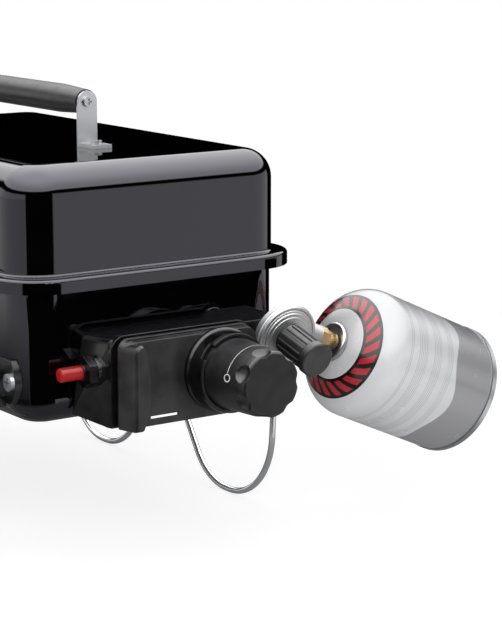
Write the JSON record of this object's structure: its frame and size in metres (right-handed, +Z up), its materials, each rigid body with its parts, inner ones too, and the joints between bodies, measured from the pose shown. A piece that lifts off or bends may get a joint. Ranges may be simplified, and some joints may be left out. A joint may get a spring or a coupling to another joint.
{
  "type": "portable gas grill",
  "caption": "Portable gas grill: rounded black enamelled bowl and lift-off lid on folding wire legs, end panel with gas knob, push igniter, regulator and screw-on canister.",
  "frame": {"origin": "centre of the whole outline at ground level", "axes": "+Z up, +X towards the control panel, +Y towards the back where the gas canister hangs"},
  "size_m": [0.54, 0.4504, 0.367],
  "materials": {
    "black_enamel": "gloss enamel",
    "chrome_wire": "polished",
    "bracket_black": "satin",
    "plated_steel": "zinc plated",
    "grate_enamel": "satin enamel",
    "burner_steel": "plain",
    "deflector_steel": "heat darkened",
    "grip_black": "satin",
    "panel_plastic": "fine grain",
    "knob_plastic": "fine grain",
    "button_red": "gloss",
    "brass": "machined",
    "copper_tube": "drawn",
    "ceramic": "glazed",
    "black_rubber": "matte",
    "cast_alloy": "die cast",
    "spun_alloy": "spun rings",
    "canister_white": "gloss paint",
    "canister_steel": "plain"
  },
  "bodies": {
    "base": {"bowl": "black_enamel", "leg_brackets": "bracket_black", "bracket_screws": "plated_steel", "grate_rests": "plated_steel", "burner_tube": "burner_steel", "burner_support": "burner_steel", "heat_deflector": "deflector_steel", "panel_hood": "panel_plastic", "hood_screws": "plated_steel", "panel_cover": "panel_plastic", "knob_bezel": "panel_plastic", "valve_body": "brass", "gas_jet": "brass", "supply_tube": "copper_tube", "igniter_body": "panel_plastic", "igniter_nut": "panel_plastic", "igniter_spring": "plated_steel", "igniter_wire": "black_rubber", "electrode_ceramic": "ceramic", "electrode_pin": "plated_steel", "electrode_clip": "plated_steel", "regulator_body": "cast_alloy", "regulator_cover": "spun_alloy", "regulator_diaphragm": "black_rubber", "regulator_bonnet": "panel_plastic", "regulator_spring": "plated_steel", "inlet_fitting": "brass", "inlet_seal": "black_rubber"},
    "lid": {"lid_shell": "black_enamel", "handle_grip": "grip_black", "handle_straps": "plated_steel", "handle_screws": "plated_steel", "handle_nuts": "plated_steel"},
    "grate": {"cooking_grate": "grate_enamel"},
    "leg_front": {"leg_front": "chrome_wire"},
    "leg_back": {"leg_back": "chrome_wire"},
    "knob": {"control_knob": "knob_plastic", "valve_stem": "plated_steel"},
    "button": {"igniter_button": "button_red"},
    "canister": {"canister_body": "canister_white", "canister_valve": "canister_steel", "canister_base": "canister_steel"}
  },
  "joints": [
    {"name": "lid_lift", "type": "slide", "parent": "base", "child": "lid", "axis": [0, 0, 1], "range_m": [0, 0.15]},
    {"name": "grate_lift", "type": "slide", "parent": "base", "child": "grate", "axis": [0, 0, 1], "range_m": [0, 0.06]},
    {"name": "leg_front_fold", "type": "hinge", "parent": "base", "child": "leg_front", "pos_m": [-0.05, -0.21866, 0.15], "axis": [-1, 0, 0], "range_deg": [0, 180]},
    {"name": "leg_back_fold", "type": "hinge", "parent": "base", "child": "leg_back", "pos_m": [-0.05, 0.06634, 0.15], "axis": [1, 0, 0], "range_deg": [0, 180]},
    {"name": "knob_turn", "type": "hinge", "parent": "base", "child": "knob", "pos_m": [0.21, -0.04716, 0.1525], "axis": [1, 0, 0], "range_deg": [0, 100]},
    {"name": "igniter_press", "type": "slide", "parent": "base", "child": "button", "axis": [0, 1, 0], "range_m": [0, 0.006], "stiffness_N_per_m": 900, "springref_m": -0.004},
    {"name": "canister_remove", "type": "slide", "parent": "base", "child": "canister", "axis": [-0.0478, 0.9123, -0.4067], "range_m": [0, 0.06]}
  ]
}
